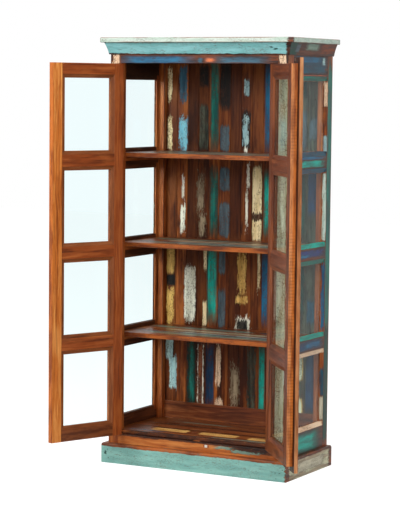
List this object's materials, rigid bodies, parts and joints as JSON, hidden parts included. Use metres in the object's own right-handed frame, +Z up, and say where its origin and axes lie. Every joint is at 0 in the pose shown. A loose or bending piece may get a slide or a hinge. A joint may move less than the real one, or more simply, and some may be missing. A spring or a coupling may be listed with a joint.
{
  "type": "glass_door_display_cabinet",
  "caption": "Tall reclaimed-wood display cabinet with two framed glass doors, glazed sides, planked back, shelves, crown moulding and plinth",
  "frame": {"origin": "on the floor under the centre of the case's footprint, which is the underside of the centre bearer", "axes": "+Z up, +X to the right seen from the front, -Y out of the front with the doors"},
  "size_m": [1.1169, 0.7763, 1.8],
  "materials": {
    "brown_wood": "dark varnished old timber",
    "orange_wood": "warm varnished timber",
    "red_wood": "red-brown varnished timber",
    "mint_paint": "worn mint and turquoise paint on timber, sealed",
    "olive_paint": "crackled grey-green paint on timber, sealed",
    "green_paint": "worn dark green paint on timber, sealed",
    "blue_paint": "worn blue paint on dark timber, sealed",
    "pale_paint": "worn cream and grey paint on timber, sealed",
    "glass": "clear float glass",
    "steel": "dulled steel"
  },
  "bodies": {
    "case": {"frieze_rail": "brown_wood", "bottom_rail": "brown_wood", "front_post_left": "olive_paint", "front_post_right": "olive_paint", "rear_post_left": "green_paint", "rear_post_right": "green_paint", "top_board": "mint_paint", "crown_front": "mint_paint", "plinth_front": "mint_paint", "crown_left": "mint_paint", "crown_right": "mint_paint", "plinth_left": "mint_paint", "plinth_right": "mint_paint", "side_top_rail_left": "blue_paint", "side_mid_rails_left": "blue_paint", "side_bottom_rail_left": "blue_paint", "side_beads_left": "pale_paint", "side_glass_left": "glass", "side_top_rail_right": "blue_paint", "side_mid_rails_right": "blue_paint", "side_bottom_rail_right": "blue_paint", "side_beads_right": "pale_paint", "side_glass_right": "glass", "back_boards": "pale_paint", "back_bottom_rail": "brown_wood", "back_top_rail": "brown_wood", "back_battens": "brown_wood", "centre_bearer": "brown_wood", "shelf_cleats": "brown_wood", "floor_boards": "brown_wood", "shelf_lower": "mint_paint", "shelf_middle": "mint_paint", "shelf_upper": "mint_paint", "case_hinge_leaves": "steel", "case_hinge_screws": "steel", "hinge_pins": "steel", "magnet_catches": "steel"},
    "left_door": {"left_door_hinge_stile": "orange_wood", "left_door_free_stile": "orange_wood", "left_door_bottom_rail": "red_wood", "left_door_mid_rails": "red_wood", "left_door_top_rail": "red_wood", "left_door_beads": "red_wood", "left_door_glass": "glass", "left_door_hinge_leaves": "steel", "left_door_hinge_screws": "steel"},
    "right_door": {"right_door_hinge_stile": "orange_wood", "right_door_free_stile": "orange_wood", "right_door_bottom_rail": "red_wood", "right_door_mid_rails": "red_wood", "right_door_top_rail": "red_wood", "right_door_beads": "red_wood", "right_door_glass": "glass", "right_door_hinge_leaves": "steel", "right_door_hinge_screws": "steel", "overlap_strip": "orange_wood", "strike_plates": "steel"}
  },
  "joints": [
    {"name": "left_door_hinge", "type": "hinge", "parent": "case", "child": "left_door", "pos_m": [-0.3648, -0.2175, 0.909], "axis": [0, 0, -1], "range_deg": [-112.5, 57.5]},
    {"name": "right_door_hinge", "type": "hinge", "parent": "case", "child": "right_door", "pos_m": [0.3648, -0.2175, 0.909], "axis": [0, 0, 1], "range_deg": [-129.3, 40.7]}
  ]
}
